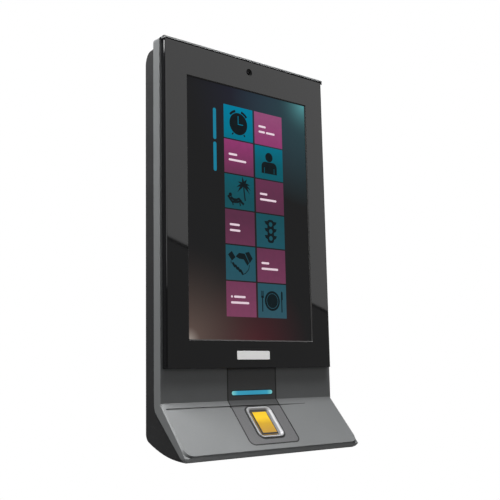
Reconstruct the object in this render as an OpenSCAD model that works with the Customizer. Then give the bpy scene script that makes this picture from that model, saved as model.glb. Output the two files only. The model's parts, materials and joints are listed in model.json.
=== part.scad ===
// Wall-mounted fingerprint terminal with a seven-inch portrait touch display.
// The terminal hangs on two hinge pins of a steel wall bracket and is clamped by one screw below.
// X runs to the right as seen from the front, Y runs into the wall and Z runs up.
// The origin is the centre of the wall-hole pattern, on the wall plane.
// Inside the modules, h is the height above the bottom lip and d is the depth in front of the wall.

/* [Body] */
// Width across the front frame
body_w = 130; // [128:1:136]
// Height from the bottom lip to the top of the front frame
body_h = 242; // [241:0.5:246]
// Distance from the wall to the front frame's face
face_d = 17.1; // [17.1:0.1:17.6]
// Distance from the wall to the parting line between the rear housing and the front frame
parting_d = 10.6; // [10.4:0.1:10.8]
// Wall thickness of the rear housing
housing_t = 2.2; // [1.8:0.1:2.4]
// Wall thickness of the front frame
frame_t = 2.6; // [2.6:0.1:2.8]
// Front-view corner radius of the front frame
corner_r = 2.5; // [2:0.5:5]

/* [Reader slope] */
// Height at which the vertical band turns into the reader slope
bend_h = 30.5; // [30:0.1:31]
// Angle of the reader slope below the horizontal, in degrees
slope_a = 48.8; // [48:0.1:50]
// Length of the slope, measured down its face
slope_len = 36.1; // [35.5:0.1:37]
// Radius of the curved underside
under_r = 85; // [80:1:90]

/* [Display] */
// Thickness of the glossy fascia in front of the frame
fascia_t = 3.2; // [3.2:0.1:3.8]
// Height of the fascia's lower edge
fascia_h0 = 49.3; // [49.3:0.1:50]
// Thickness of the frame's lip over the fascia's upper edge
top_lip = 1.1; // [1:0.1:1.5]
// Width of the display window
window_w = 94.8; // [90:0.2:96]
// Height of the display window
window_len = 155; // [150:0.5:156]
// Height of the display window's centre
window_h = 143.1; // [142:0.1:144]
// Diameter of the camera hole
camera_hole = 4.6; // [3:0.1:5.4]
// Height of the camera's axis
camera_h = 233.1; // [233:0.1:233.5]

/* [Reader] */
// Width of the reader insert
insert_w = 36.2; // [36:0.1:38]
// Length of the reader insert below the bend, down the slope
insert_len = 31.6; // [30.5:0.1:32]
// Outer width of the sensor bezel
bezel_w = 18.8; // [18:0.1:20]
// Outer length of the sensor bezel
bezel_len = 21.9; // [21:0.1:22.5]
// Width of the sensor window
platen_w = 12.2; // [11:0.1:12.8]
// Length of the sensor window
platen_len = 16.6; // [15:0.1:17]
// Height of the status light bar's centre
light_h = 34.8; // [34.6:0.1:35.2]
// Length of the status light bar
light_len = 31.1; // [28:0.1:32]

/* [Wall bracket] */
// Width of the bracket plate
bracket_w = 104; // [100:1:104]
// Sheet thickness of the bracket
bracket_t = 1.5; // [1.5:0.1:1.6]
// Height of the wall-hole pattern's centre above the bottom lip
origin_h = 125; // [120:1:130]
// Horizontal distance between wall holes
wall_hole_dx = 84; // [80:1:86]
// Vertical distance between wall holes
wall_hole_dz = 150; // [145:1:152]
// Radius of a wall hole
wall_hole_r = 2.5; // [2:0.1:3]
// Radius of a hinge pin
pin_r = 1.5; // [1.3:0.05:1.6]

/* [Hidden] */
$fn = 48;
corner_steps = 7;
joint_gap = 0.05;
cut = 1;

// Depths
rear_d = 0.8;
rear_wall_d = 4.8;
recess_d = 2.6;
frame_in_d = face_d - frame_t;
fascia_d = face_d + fascia_t;
fascia_skin_t = 0.8;
skin_d = fascia_d - fascia_skin_t;
board_d0 = 8.2;
board_d1 = 9.8;
lcd_plate_d0 = 12.6;
lcd_plate_d1 = 13.4;
lcd_front_d = 17.9;
touch_d0 = 18.3;
touch_d1 = 19.4;
io_d0 = 12.9;
io_d1 = 14.1;

// Heights
housing_h = body_h - 4.4;
housing_top_r = 9;
housing_w = body_w - 2;
fascia_w = body_w - 3.2;
top_lip_d = fascia_d - 0.2;
fascia_h1 = body_h - top_lip - 0.1;
fascia_edge_r = 1.3;
fascia_corner_r = 1.6;
lcd_h0 = 60.5;
lcd_h1 = 224.5;
lcd_w = 100;

// Slope
under_y = -42.2;
crease_s = 4.5;
slope_edge_t = 1.2;
slope_edge_w = 0.8;
slope_corner_r = 5;
bezel_s = 16.6;
bezel_base_n = -1.5;
bezel_rim_n = 0.5;
bezel_rim_t = 0.9;
platen_n = -0.8;
bezel_gap = 0.7;
insert_t = 1.5;
insert_gap = 0.25;

// Hinge hooks and pins
pin_d = 4.6;
pin_h = 226;
hook_x = 38;
hook_r = 2.8;
hook_half_w = 4;
ear_in = 6.5;
ear_out = 8;
pocket_half_w = 9;
pocket_d = 9.2;

// Bracket
bracket_h0 = 18.5;
bracket_h1 = 227.5;
window_x = [17, 47];
cable_h = [24, 43.5];
flange_len = 12.5;
flange_h1 = bracket_h0 + bracket_t;
fork_slot = 4.4;

// Lock screw and clamp nut
lock_d = 8.8;
lock_r = 1.75;
lock_head_r = 3.4;
lock_head_h = [7.6, 10.1];
lock_tip_h = 26.5;
nut_half = 3.5;
nut_t = 3;
column_half_w = 12.5;
column_d = 14;

// Cable bays and connectors
bay_x = [14, 50];
bay_h = [16, 43.7];
bay_d = 12.6;
bay_wall = 1.6;
jack_x = 24;
usb_x = 42;
block_x = -30;
connector_h = 44;

// Tamper plunger and reset button
tamper_h = 200;
tamper_r = 2.5;
reset_x = -47.2;
reset_d = 8;
reset_r = 1.5;

// Screw places
case_screw_x = 58.5;
case_screw_h = [42, 130, 228];
lcd_screw_x = 54.8;
lcd_screw_h = [70, 200];
board_screw_x = 44;
board_screw_h = [78, 180];
io_screw_x = 11;
io_screw_h = 53;
sensor_screw_x = 17;
sensor_screw_s = [9, 25];

// ---------- Outline functions ----------

function unit(v) = v / norm(v);

// Arc of radius r that replaces the corner b of the path a, b, c
function arc_corner(a, b, c, r) =
    let (
        u = unit(a - b),
        v = unit(c - b),
        half = acos(u * v) / 2,
        o = b + unit(u + v) * r / sin(half),
        p = b + u * r / tan(half) - o,
        q = b + v * r / tan(half) - o,
        start = atan2(p.y, p.x),
        turn = atan2(q.y, q.x) - start,
        sweep = turn > 180 ? turn - 360 : turn < -180 ? turn + 360 : turn
    )
    [for (i = [0:corner_steps])
        let (a = start + sweep * i / corner_steps) o + r * [cos(a), sin(a)]];

// Outline of [u, v, radius] corners with every radius turned into an arc
function rounded(pts) =
    let (n = len(pts))
    [for (i = [0:n - 1])
        let (a = pts[(i + n - 1) % n], b = pts[i], c = pts[(i + 1) % n])
        each b.z == 0 ? [[b.x, b.y]] : arc_corner([a.x, a.y], [b.x, b.y], [c.x, c.y], b.z)];

// Rounded rectangle from ranges, with one radius for the lower and one for the upper corners
function plate(x, h, low_r, high_r) = rounded([
    [x[0], h[0], low_r], [x[1], h[0], low_r], [x[1], h[1], high_r], [x[0], h[1], high_r]
]);

// Height of the curved underside at a y position
function under_z(y) = under_r - sqrt(pow(under_r, 2) - pow(y - under_y, 2));

// Point on the slope: s down the face from the bend, n outward from the face
function slope_point(s, n = 0) = [
    -face_d - s * cos(slope_a) - n * sin(slope_a),
    bend_h - s * sin(slope_a) + n * cos(slope_a)
];

// Corner of the bend when both faces are moved back by t
function bend_point(t) = [-face_d + t, bend_h - t * (1 - sin(slope_a)) / cos(slope_a)];

// ---------- Placing ----------

module along_x(w) translate([-w / 2, 0, 0]) rotate([90, 0, 90]) linear_extrude(w) children();

module along_y(d0, d1) translate([0, -d0, 0]) rotate([90, 0, 0]) linear_extrude(d1 - d0) children();

module block(x, d, h) translate([x[0], -d[1], h[0]]) cube([x[1] - x[0], d[1] - d[0], h[1] - h[0]]);

module rod_x(x, d, h, r) translate([x[0], -d, h]) rotate([0, 90, 0]) cylinder(r = r, h = x[1] - x[0]);

module rod_y(x, d, h, r) translate([x, -d[0], h]) rotate([90, 0, 0]) cylinder(r = r, h = d[1] - d[0]);

module rod_z(x, d, h, r) translate([x, -d, h[0]]) cylinder(r = r, h = h[1] - h[0]);

module on_slope() translate([0, -face_d, bend_h]) rotate([slope_a, 0, 0]) children();

// Plate on the slope from ranges across, down the face and outward, with rounded corners
module slope_plate(x, s, n, r) on_slope() translate([0, 0, n[0]]) linear_extrude(n[1] - n[0])
    polygon(plate(x, [-s[1], -s[0]], r, r));

// Cylinder square to the slope
module slope_rod(x, s, n, r) on_slope() translate([x, -s, n[0]]) cylinder(r = r, h = n[1] - n[0]);

module mirrored() for (side = [-1, 1]) scale([side, 1, 1]) children();

module placed() translate([0, 0, -origin_h]) children();

// ---------- Casing outlines ----------

// Side outline of the front frame
module frame_side() polygon(rounded([
    [-parting_d, body_h, 0],
    [-top_lip_d, body_h, 0.7],
    [-top_lip_d, body_h - top_lip, 0.2],
    [-face_d, body_h - top_lip, 0],
    [-face_d, bend_h, 0],
    [each slope_point(slope_len), 0.8],
    [-38.1, 0.2, 0.6],
    [-parting_d, 26.7, 8]
]));

// Side outline of the rear housing, with its curved underside
module housing_side() {
    nose_y = -37.9;
    foot_y = -3.4;
    steps = 9;
    polygon(concat(
        rounded([[-parting_d, 26.7, 8], [-parting_d, housing_h, 0], [-rear_d, housing_h, housing_top_r],
            [-rear_d, under_z(-rear_d) + 0.4, 5], [foot_y, under_z(foot_y), 0]]),
        [for (i = [1:steps]) let (y = foot_y + (nose_y - foot_y) * i / steps) [y, under_z(y)]]
    ));
}

module housing_solid() intersection() {
    along_x(housing_w) housing_side();
    along_y(-cut, under_r) polygon(plate([-housing_w / 2, housing_w / 2], [-cut, housing_h], 3.5, corner_r));
}

module housing_cavity() {
    back_y = -rear_wall_d;
    top_h = housing_h - housing_t;
    steps = 8;
    along_x(housing_w - 2 * housing_t) polygon(concat(
        [[-under_r, top_h]],
        arc_corner([-under_r, top_h], [back_y, top_h], [back_y, 0], 5),
        [for (i = [0:steps]) let (y = back_y + (-36 - back_y) * i / steps) [y, under_z(y) + housing_t]],
        [[-under_r, under_z(-36) + housing_t]]
    ));
}

// ---------- Wall bracket ----------

module ear_side() {
    translate([-pin_d, pin_h]) circle(hook_r);
    translate([-pin_d, pin_h - hook_r]) square([pin_d, 2 * hook_r]);
    polygon([[0, 219.5], [-bracket_t, 219.5], [-pin_d - 2.4, 224.6], [0, 226]]);
}

module wall_bracket() color("lightgray") placed() difference() {
    union() {
        along_y(0, bracket_t) polygon(plate([-bracket_w / 2, bracket_w / 2], [bracket_h0, bracket_h1], 5, 5));
        for (x = [-hook_x, hook_x], e = [-ear_out, ear_in])
            translate([x + e + (ear_out - ear_in) / 2, 0, 0]) along_x(ear_out - ear_in) ear_side();
    }
    for (x = [-1, 1], z = [-1, 1])
        rod_y(x * wall_hole_dx / 2, [-cut, bracket_t + cut], origin_h + z * wall_hole_dz / 2, wall_hole_r);
    mirrored() along_y(-cut, bracket_t + cut) polygon(plate(window_x, cable_h, 3, 3));
    for (h0 = [62, 138]) along_y(-cut, bracket_t + cut) polygon(plate([-30, 30], [h0, h0 + 50], 6, 6));
    rod_y(0, [-cut, bracket_t + cut], tamper_h, tamper_r + 2);
    for (x = [-hook_x, hook_x]) rod_x([x - 10, x + 10], pin_d, pin_h, pin_r + 0.02);
}

// Slotted tab welded to the foot of the bracket, which the lock screw's nut presses on
module clamp_fork() color("lightgray") placed() difference() {
    block([-10, 10], [bracket_t, flange_len], [bracket_h0, flange_h1]);
    block([-fork_slot / 2, fork_slot / 2], [lock_d - fork_slot / 2, flange_len + cut],
        [bracket_h0 - cut, flange_h1 + cut]);
}

module hinge_pins() color("silver") placed()
    for (x = [-hook_x, hook_x]) rod_x([x - ear_out - 0.6, x + ear_out + 0.6], pin_d, pin_h, pin_r);

// ---------- Rear housing ----------

module hook(x) difference() {
    union() {
        rod_x([x - hook_half_w, x + hook_half_w], pin_d, pin_h, hook_r);
        block([x - hook_half_w, x + hook_half_w], [pin_d, pocket_d + 0.5], [pin_h - hook_r, pin_h + hook_r]);
    }
    rod_x([x - 10, x + 10], pin_d, pin_h, pin_r + joint_gap);
    block([x - 10, x + 10], [pin_d - pin_r - joint_gap, pin_d + pin_r + joint_gap], [pin_h - 5, pin_h]);
}

module housing_inner_walls() {
    bay_outer_x = [bay_x[0] - bay_wall, bay_x[1] + bay_wall];
    bay_outer_h = [bay_h[0] - bay_wall, bay_h[1] + bay_wall];
    mirrored() block(bay_outer_x, [rear_d, bay_d + bay_wall], bay_outer_h);
    block([-column_half_w, column_half_w], [rear_d, column_d], [0, 30]);
    for (x = [-hook_x, hook_x])
        block([x - pocket_half_w - 1.5, x + pocket_half_w + 1.5], [rear_d, pocket_d + 1.4], [215.5, 233]);
    for (x = [-case_screw_x, case_screw_x], h = case_screw_h) rod_y(x, [rear_d, parting_d], h, 4);
    for (x = [-54, -32]) block([x, x + 2], [20, 31], [0, 5.3]);
}

module housing_cuts() {
    recess_half_w = bracket_w / 2 + 1;
    along_y(-cut, recess_d) polygon(plate([-recess_half_w, recess_half_w], [bracket_h0 - 1.5, 230.5], 5, 5));
    for (x = [-hook_x, hook_x]) block([x - pocket_half_w, x + pocket_half_w], [0, pocket_d], [217, 231.5]);
    mirrored() block(bay_x, [-cut, bay_d], bay_h);
    for (c = [[jack_x, 8.2, 60.3], [usb_x, 7.4, 58.3], [block_x, 14.7, 55.3]])
        block([c.x - c.y, c.x + c.y], [-cut, bay_d + bay_wall + 0.1], [bay_h[1] - 0.5, c.z]);
    for (x = [-case_screw_x, case_screw_x], h = case_screw_h) {
        rod_y(x, [-cut, parting_d + cut], h, 1.7);
        rod_y(x, [-cut, 3.4], h, 3.1);
    }
    rod_y(0, [0, rear_wall_d + cut], tamper_h, tamper_r + joint_gap);
    rod_z(reset_x, reset_d, [bay_h[1] - cut, bay_h[1] + bay_wall + cut], reset_r + joint_gap);
    for (i = [0:4]) block([-50 + 4 * i, -48.6 + 4 * i], [21.5, 29.5], [-cut, 5]);
}

// Slot for the bracket flange, pocket for the nut, bore for the screw and slot for its clip
module clamp_cuts() {
    slot_h = [17.6, 20.8];
    difference() {
        block([-10.8, 10.8], [-cut, flange_len + 0.8], slot_h);
        rod_z(0, lock_d, [slot_h[0] - cut, bracket_h0 - 0.5], 4);
    }
    nut_room = nut_half + 0.1;
    block([-nut_room, nut_room], [lock_d - nut_room, lock_d + nut_room], [slot_h[1] - 0.1, 25.2]);
    rod_z(0, lock_d, [0, lock_tip_h + 1], lock_r + 0.1);
    rod_z(0, lock_d, [-cut, lock_head_h[1] + joint_gap], lock_head_r + 0.3);
    block([-4.4, 4.4], [5.2, column_d + cut], [12, 13.2]);
}

module rear_housing() color("#303030") placed() {
    difference() {
        union() {
            difference() {
                housing_solid();
                housing_cavity();
            }
            intersection() {
                housing_solid();
                housing_inner_walls();
            }
        }
        housing_cuts();
        clamp_cuts();
    }
    for (x = [-hook_x, hook_x]) hook(x);
}

// ---------- Front frame, fascia and display ----------

// Insert shape that wraps over the bend, grown sideways by gap and reaching t behind the face
module insert_shape(gap, t, out) {
    half_w = insert_w / 2 + gap;
    top_h = fascia_h0 - 0.1 + gap;
    intersection() {
        along_x(2 * half_w) polygon([
            [-face_d - out, top_h],
            bend_point(-out),
            slope_point(slope_len, out),
            slope_point(slope_len, -t),
            bend_point(t),
            [-face_d + t, top_h]
        ]);
        slope_plate([-half_w, half_w], [-30, insert_len + gap], [-10, 30], 3 + gap);
    }
}

// Groove across the slope that narrows to a point on the right
module crease_groove() on_slope() translate([0, -crease_s, -0.45]) linear_extrude(cut) polygon([
    [-62.6, 0.9], [-63.6, 0], [-62.6, -0.9], [-10, -0.7], [40, -0.06], [40, 0.06], [-10, 0.7]
]);

module frame_posts() {
    for (x = [-case_screw_x, case_screw_x], h = case_screw_h)
        rod_y(x, [parting_d + 0.05, frame_in_d + 0.5], h, 3.6);
    for (x = [-lcd_screw_x, lcd_screw_x], h = lcd_screw_h) rod_y(x, [lcd_plate_d1, frame_in_d + 0.5], h, 2.4);
    for (x = [-io_screw_x, io_screw_x]) rod_y(x, [io_d1, frame_in_d + 0.5], io_screw_h, 2.2);
    for (x = [-sensor_screw_x, sensor_screw_x], s = sensor_screw_s)
        slope_rod(x, s, [-6.2, -frame_t + 0.5], 2);
}

// Space that the slope's chamfered edges and rounded lower corners leave to the frame
module slope_bound() {
    half_w = body_w / 2;
    block([-body_w, body_w], [-cut, under_r], [bend_h - 0.5, body_h + 1]);
    slope_plate([-body_w, body_w], [-60, 60], [-90, -slope_edge_t], 1);
    hull() {
        slope_plate([-half_w - 0.3, half_w + 0.3], [-12, slope_len + 0.3],
            [-slope_edge_t - 0.02, -slope_edge_t], slope_corner_r + 0.6);
        slope_plate([slope_edge_w - half_w, half_w - slope_edge_w], [-12, slope_len - 0.5],
            [0.02, 0.04], slope_corner_r);
    }
}

module front_frame() color("#808484") placed() difference() {
    union() {
        difference() {
            intersection() {
                along_x(body_w) frame_side();
                along_y(0, under_r) polygon(plate([-body_w / 2, body_w / 2], [0, body_h], 3, corner_r));
                slope_bound();
            }
            along_x(body_w - 2 * 2.4) polygon([
                [cut, body_h - 2.4],
                [-frame_in_d, body_h - 2.4],
                bend_point(frame_t),
                slope_point(30.5, -frame_t),
                [-33.5, 2.4],
                [cut, 2.4]
            ]);
        }
        frame_posts();
    }
    block([-51, 51], [10, face_d + cut], [lcd_h0 - 1, lcd_h1 + 1]);
    block([-4.4, 4.4], [14, face_d + cut], [camera_h - 4.4, camera_h + 4.4]);
    insert_shape(insert_gap, insert_t + 0.05, cut);
    block([-17.2, 17.2], [14, face_d], [light_h - 3, light_h + 3]);
    slope_plate([-14.5, 14.5], [5, 29.5], [-frame_t - cut, 0], 1);
    crease_groove();
    for (x = [-case_screw_x, case_screw_x], h = case_screw_h) rod_y(x, [parting_d, 15.1], h, 2.3);
    for (x = [-lcd_screw_x, lcd_screw_x], h = lcd_screw_h) rod_y(x, [lcd_plate_d1 - cut, 16.7], h, 1.27);
    for (x = [-io_screw_x, io_screw_x]) rod_y(x, [io_d1 - cut, 16.7], io_screw_h, 1.12);
    for (x = [-sensor_screw_x, sensor_screw_x], s = sensor_screw_s) slope_rod(x, s, [-7, -2.2], 1.02);
}

module fascia() color("#1c1c1e") placed() {
    half_w = fascia_w / 2;
    half_win = window_w / 2;
    win_h = [window_h - window_len / 2, window_h + window_len / 2];
    bevel = 0.6;
    difference() {
        intersection() {
            along_y(face_d, fascia_d)
                polygon(plate([-half_w, half_w], [fascia_h0, fascia_h1], 0.6, fascia_corner_r));
            translate([0, 0, fascia_h0]) linear_extrude(body_h) polygon(rounded([
                [-half_w, -face_d, 0], [-half_w, -fascia_d, fascia_edge_r],
                [half_w, -fascia_d, fascia_edge_r], [half_w, -face_d, 0]
            ]));
            along_x(fascia_w) polygon(rounded([
                [-face_d, fascia_h0, 0], [-fascia_d, fascia_h0, 0.3],
                [-fascia_d, fascia_h1, 1.4], [-face_d, fascia_h1, 0]
            ]));
        }
        block([-52.5, 52.5], [face_d - cut, skin_d], [58.5, 226.5]);
        block([-half_win, half_win], [face_d, fascia_d + cut], win_h);
        hull() {
            block([-half_win, half_win], [skin_d + 0.2, skin_d + 0.21], win_h);
            block([-half_win - bevel, half_win + bevel], [fascia_d, fascia_d + 0.01],
                [win_h[0] - bevel, win_h[1] + bevel]);
        }
        rod_y(0, [face_d - cut, fascia_d - 1], camera_h, 3.2);
        rod_y(0, [face_d, fascia_d + cut], camera_h, camera_hole / 2);
    }
}

module nameplate() color("white") placed()
    along_y(fascia_d, fascia_d + 0.3) polygon(plate([-13.6, 11.4], [54.2, 59.2], 0.5, 0.5));

module touch_panel() color("#20242a") placed() block([-52, 52], [touch_d0, touch_d1], [59, 226]);

module touch_gasket() color("#151515") placed() difference() {
    block([-51, 51], [lcd_front_d, touch_d0], [60, 225]);
    block([-window_w / 2 - 0.4, window_w / 2 + 0.4], [lcd_front_d - cut, touch_d0 + cut], [65.2, 221]);
}

module display_cell() color("#222c33") placed()
    block([-47.9, 47.9], [lcd_front_d - 0.6, lcd_front_d], [64.9, 221.5]);

module lcd_module() color("silver") placed() difference() {
    block([-lcd_w / 2, lcd_w / 2], [lcd_plate_d1, lcd_front_d], [lcd_h0, lcd_h1]);
    block([-48, 48], [lcd_front_d - 0.6, lcd_front_d + cut], [64.8, 221.6]);
}

module lcd_bracket() color("gray") placed() difference() {
    union() {
        along_y(lcd_plate_d0, lcd_plate_d1) polygon(plate([-50.5, 50.5], [60.5, 214], 2, 2));
        for (h = lcd_screw_h) block([-57.6, 57.6], [lcd_plate_d0, lcd_plate_d1], [h - 4, h + 4]);
    }
    for (x = [-lcd_screw_x, lcd_screw_x], h = lcd_screw_h)
        rod_y(x, [lcd_plate_d0 - cut, lcd_plate_d1 + cut], h, 1.4);
    for (x = [-board_screw_x, board_screw_x], h = board_screw_h)
        rod_y(x, [lcd_plate_d0 - cut, lcd_plate_d1 + cut], h, 1.27);
    for (h = [92, 136]) along_y(lcd_plate_d0 - cut, lcd_plate_d1 + cut)
        polygon(plate([-34, 34], [h, h + 32], 4, 4));
}

// Pan-head screw along Y: the head faces the wall and the shank runs forward from seat_d
module screw_y(x, h, seat_d, length, r, head_r, head_t) difference() {
    union() {
        rod_y(x, [seat_d - head_t, seat_d], h, head_r);
        rod_y(x, [seat_d, seat_d + length], h, r);
    }
    rod_y(x, [seat_d - head_t - cut, seat_d - head_t * 0.4], h, r * 0.7, $fn = 6);
}

module lcd_screws() color("silver") placed() for (x = [-lcd_screw_x, lcd_screw_x], h = lcd_screw_h)
    screw_y(x, h, lcd_plate_d0, 3.9, 1.25, 2.3, 1.2);

// ---------- Electronics ----------

module standoffs() color("goldenrod") placed() for (x = [-board_screw_x, board_screw_x], h = board_screw_h)
    difference() {
        rod_y(x, [board_d1, lcd_plate_d0], h, 2.3);
        rod_y(x, [board_d1 - cut, lcd_plate_d0 + cut], h, 1.27);
    }

module main_board() color("darkgreen") placed() difference() {
    along_y(board_d0, board_d1) polygon(plate([-48, 48], [72, 186], 1.5, 1.5));
    for (x = [-board_screw_x, board_screw_x], h = board_screw_h)
        rod_y(x, [board_d0 - cut, board_d1 + cut], h, 1.4);
}

module board_screws() color("silver") placed() for (x = [-board_screw_x, board_screw_x], h = board_screw_h)
    screw_y(x, h, board_d0, 3.9, 1.25, 2.4, 1.5);

// Chips as [x, h, width, height, thickness] on the wall side, and ribbon sockets on the front side
module board_components() color("#222222") placed() {
    rear_chips = [[-3, 139, 17, 17, 1.4], [-32, 146, 12, 9, 1.1], [-32, 128, 12, 9, 1.1],
        [31, 150, 14, 14, 1.2],
        [30, 172, 9, 6, 1.6], [-30, 98, 10, 10, 1.4], [-8, 98, 8, 5, 2.2], [6, 98, 8, 5, 2.2]];
    for (c = rear_chips)
        block([c[0] - c[2] / 2, c[0] + c[2] / 2], [board_d0 - c[4], board_d0],
            [c[1] - c[3] / 2, c[1] + c[3] / 2]);
    block([-40.5, -12.5], [board_d1, 12.1], [72.5, 77]);
    block([-9, 9], [board_d1, 10.7], [73, 77]);
    block([9, 17], [board_d1, 12.2], [180, 184.5]);
}

module shield_can() color("silver") placed() difference() {
    block([-20, 14], [5.6, board_d0], [121, 157]);
    block([-19.7, 13.7], [5.9, board_d0 + cut], [121.3, 156.7]);
}

module cell_holder() color("#111111") placed() difference() {
    rod_y(30, [6, board_d0], 104, 7.6);
    rod_y(30, [6 - cut, board_d0 - 0.4], 104, 6.4);
}

module backup_cell() color("silver") placed() rod_y(30, [6.2, board_d0 - 0.4], 104, 6.3);

module display_ribbon() color("#c8873c") placed() translate([-27, 0, 0]) along_x(30) polygon([
    [-15, 60.5], [-15.2, 60.5], [-15.2, 59.9], [-12.1, 59.9],
    [-12.1, 76.5], [-12.3, 76.5], [-12.3, 60.1], [-15, 60.1]
]);

module board_ribbon() color("#c8873c") placed() block([-8, 8], [10.7, 10.9], [50, 76.5]);

module io_board() color("darkgreen") placed() difference() {
    block([-50.5, 50.5], [io_d0, io_d1], [45.5, 59.4]);
    for (x = [-io_screw_x, io_screw_x]) rod_y(x, [io_d0 - cut, io_d1 + cut], io_screw_h, 1.2);
}

module io_screws() color("silver") placed() for (x = [-io_screw_x, io_screw_x])
    screw_y(x, io_screw_h, io_d0, 3.6, 1.1, 2, 1.2);

module network_jack() color("silver") placed() difference() {
    block([jack_x - 8, jack_x + 8], [3.1, io_d0], [connector_h, connector_h + 16]);
    block([jack_x - 5.95, jack_x + 5.95], [4.5, 11.4], [connector_h - cut, connector_h + 12]);
    block([jack_x - 3, jack_x + 3], [3.7, 5], [connector_h - cut, connector_h + 8]);
}

module usb_socket() color("silver") placed() {
    difference() {
        block([usb_x - 7.2, usb_x + 7.2], [5.9, io_d0], [connector_h, connector_h + 14]);
        block([usb_x - 6.3, usb_x + 6.3], [6.9, 11.9], [connector_h - cut, connector_h + 12]);
    }
    block([usb_x - 5.6, usb_x + 5.6], [8.3, 10.1], [connector_h + 0.8, connector_h + 12.5]);
}

module terminal_block() color("seagreen") placed() difference() {
    block([block_x - 14.5, block_x + 14.5], [4.4, io_d0], [connector_h, connector_h + 11]);
    for (i = [0:7]) {
        x = block_x + (i - 3.5) * 3.5;
        block([x - 1.2, x + 1.2], [8.2, 10.6], [connector_h - cut, connector_h + 5]);
        rod_y(x, [4.4 - cut, 8], connector_h + 7, 1.42);
    }
}

module terminal_screws() color("silver") placed() for (i = [0:7]) {
    x = block_x + (i - 3.5) * 3.5;
    difference() {
        rod_y(x, [4.8, 8], connector_h + 7, 1.4);
        block([x - 1.5, x + 1.5], [4, 5.4], [connector_h + 6.75, connector_h + 7.25]);
    }
}

// ---------- Fingerprint reader ----------

module light_shape(gap, d) {
    r = 1.2;
    hull_x = light_len / 2 - r;
    along_y(d[0], d[1]) {
        translate([-hull_x, light_h - r - gap]) square([2 * hull_x, 2 * (r + gap)]);
        for (x = [-hull_x, hull_x]) translate([x, light_h]) circle(r + gap);
    }
}

module reader_insert() color("#5a5d5d") placed() difference() {
    insert_shape(0, insert_t, 0);
    light_shape(0.05, [14, face_d + cut]);
    slope_plate([-bezel_w / 2 - bezel_gap, bezel_w / 2 + bezel_gap],
        [bezel_s - bezel_len / 2 - bezel_gap, bezel_s + bezel_len / 2 + bezel_gap],
        [-insert_t - cut, cut], 4.2);
    crease_groove();
}

module light_bar() color("#35b5d8") placed() light_shape(0, [15.9, face_d + 0.15]);

module led_board() color("white") placed() block([-17, 17], [14.5, 15.2], [light_h - 2.8, light_h + 2.8]);

module status_leds() color("ivory") placed() for (i = [-2:2])
    block([6 * i - 0.9, 6 * i + 0.9], [15.2, 15.7], [light_h - 0.6, light_h + 0.6]);

// Rounded plate centred on the sensor, grown by the given amount round the bezel's or the window's outline
module bezel_plate(grow, n, r) slope_plate([-bezel_w / 2 - grow, bezel_w / 2 + grow],
    [bezel_s - bezel_len / 2 - grow, bezel_s + bezel_len / 2 + grow], n, r);

module platen_plate(grow, n, r) slope_plate([-platen_w / 2 - grow, platen_w / 2 + grow],
    [bezel_s + 0.2 - platen_len / 2 - grow, bezel_s + 0.2 + platen_len / 2 + grow], n, r);

module sensor_bezel() color("#c8c8cc") placed() difference() {
    bezel_plate(0, [bezel_base_n, bezel_rim_n], 3.4);
    platen_plate(0.25, [bezel_base_n - cut, platen_n], 1.2);
    hull() {
        bezel_plate(-bezel_rim_t, [bezel_rim_n, bezel_rim_n + 0.1], 2.5);
        platen_plate(0.45, [platen_n - 0.1, platen_n], 1.4);
    }
}

module sensor_window() color("#e0ac2c") placed() platen_plate(0, [bezel_base_n, platen_n], 1);

module sensor_module() color("#202020") placed()
    slope_plate([-12.5, 12.5], [6.5, 27.5], [-6.2, bezel_base_n], 0.5);

module sensor_board() color("darkgreen") placed() difference() {
    slope_plate([-20, 20], [6, 28], [-7.4, -6.2], 1);
    for (x = [-sensor_screw_x, sensor_screw_x], s = sensor_screw_s) slope_rod(x, s, [-8.4, -5.2], 1.1);
}

module sensor_screws() color("silver") placed()
    for (x = [-sensor_screw_x, sensor_screw_x], s = sensor_screw_s) {
    slope_rod(x, s, [-8.4, -7.4], 1.8);
    slope_rod(x, s, [-7.5, -2.9], 1);
}

module sensor_ribbon() color("#c8873c") placed() along_x(12) polygon([
    [-io_d1, 50], [-io_d1 - 0.2, 50], [-io_d1 - 0.2, 24.1],
    slope_point(6, -6.75), slope_point(6, -7), [-io_d1, 23.9]
]);

// ---------- Camera and speaker ----------

module camera_window() color("#101014") placed() rod_y(0, [fascia_d - 1.9, fascia_d - 1], camera_h, 3.1);

module camera_module() color("#181818") placed() {
    block([-4, 4], [12.8, 16], [camera_h - 4, camera_h + 4]);
    rod_y(0, [16, fascia_d - 2.1], camera_h, 2.6);
}

module camera_ribbon() color("#c8873c") placed() along_y(12.2, 12.4) polygon([
    [-3, camera_h - 3], [3.5, camera_h - 3], [10, 222], [10, 181],
    [16, 181], [16, 226], [8, camera_h + 3], [-3, camera_h + 3]
]);

module speaker() color("#1a1a1a") placed() difference() {
    block([-54, -30], [20, 31], [5.3, 9.3]);
    block([-52, -32], [21.8, 29.2], [5.3 - cut, 6.3]);
}

// ---------- Case fasteners ----------

module threaded_inserts() color("goldenrod") placed()
    for (x = [-case_screw_x, case_screw_x], h = case_screw_h)
    difference() {
        rod_y(x, [parting_d + 0.05, 15.1], h, 2.3);
        rod_y(x, [parting_d - cut, 15.1 + cut], h, 1.52);
    }

module case_screws() color("#3a3a3a") placed() for (x = [-case_screw_x, case_screw_x], h = case_screw_h)
    screw_y(x, h, 3.4, 11, 1.5, 2.8, 2.2);

// ---------- Lock screw and clamp ----------

module lock_screw() color("silver") placed() difference() {
    union() {
        rod_z(0, lock_d, lock_head_h, lock_head_r);
        rod_z(0, lock_d, [lock_head_h[1], lock_tip_h], lock_r);
    }
    rod_z(0, lock_d, [lock_head_h[0] - cut, lock_head_h[0] + 1.5], 1.6, $fn = 6);
}

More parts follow.
